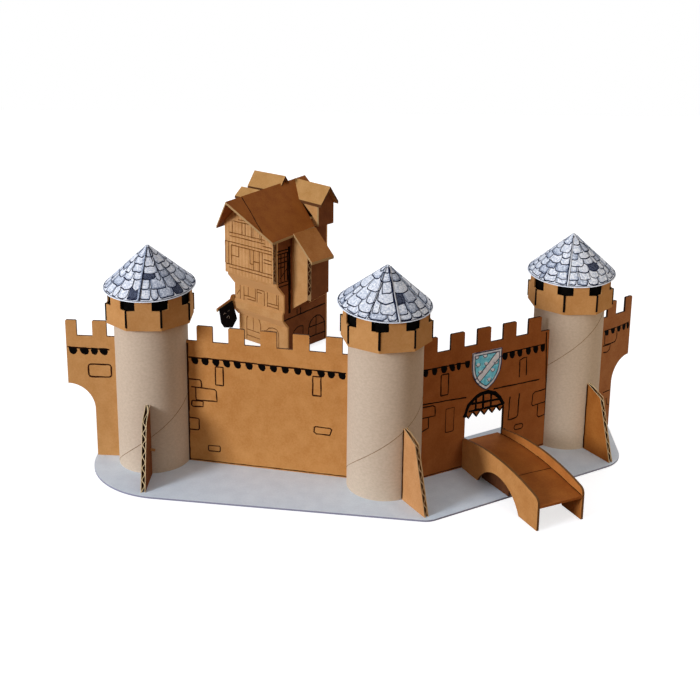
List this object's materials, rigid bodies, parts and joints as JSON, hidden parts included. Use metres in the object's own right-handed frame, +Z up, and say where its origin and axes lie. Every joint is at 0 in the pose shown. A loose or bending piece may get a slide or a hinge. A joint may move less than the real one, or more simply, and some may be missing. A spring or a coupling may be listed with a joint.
{
  "type": "cardboard castle",
  "caption": "Craft castle of cut card: roll-core towers with paper cone roofs, crenellated walls, a gate, an arched bridge and a timber-framed house that stands behind.",
  "frame": {"origin": "on the middle tower's axis, at the underside of the base plate", "axes": "+Z up; +Y away from the viewer, into the castle's yard; +X to the viewer's right"},
  "size_m": [0.3612, 0.3412, 0.139],
  "materials": {
    "kraft_card": "matte",
    "corrugated_board": "matte",
    "core_board": "matte",
    "slate_paper": "matte",
    "plate_board": "matte",
    "shield_paper": "matte",
    "sign_card": "matte"
  },
  "bodies": {
    "root": {"base_plate": "plate_board", "battlement_left": "kraft_card", "battlement_middle": "kraft_card", "battlement_right": "kraft_card", "bridge_deck": "kraft_card", "bridge_side_left": "kraft_card", "bridge_side_right": "kraft_card", "buttress_left": "corrugated_board", "buttress_middle": "corrugated_board", "buttress_right": "corrugated_board", "cone_roof_left": "slate_paper", "cone_roof_middle": "slate_paper", "cone_roof_right": "slate_paper", "dormer_roof_front": "kraft_card", "dormer_roof_rear": "kraft_card", "dormer_walls_front": "kraft_card", "dormer_walls_rear": "kraft_card", "house_back": "kraft_card", "house_bay_back": "kraft_card", "house_bay_front": "kraft_card", "house_bay_outer": "corrugated_board", "house_cross_back": "kraft_card", "house_cross_front": "kraft_card", "house_cross_gable": "kraft_card", "house_cross_roof": "kraft_card", "house_front": "kraft_card", "house_front_panel": "corrugated_board", "house_lean_to": "kraft_card", "house_roof": "kraft_card", "house_side_left": "kraft_card", "house_side_right": "kraft_card", "shield": "shield_paper", "sign_arm": "kraft_card", "sign_board": "sign_card", "tower_tube_left": "core_board", "tower_tube_middle": "core_board", "tower_tube_right": "core_board", "wall_gate": "kraft_card", "wall_long": "kraft_card", "wing_left": "kraft_card", "wing_right": "kraft_card"}
  },
  "joints": []
}
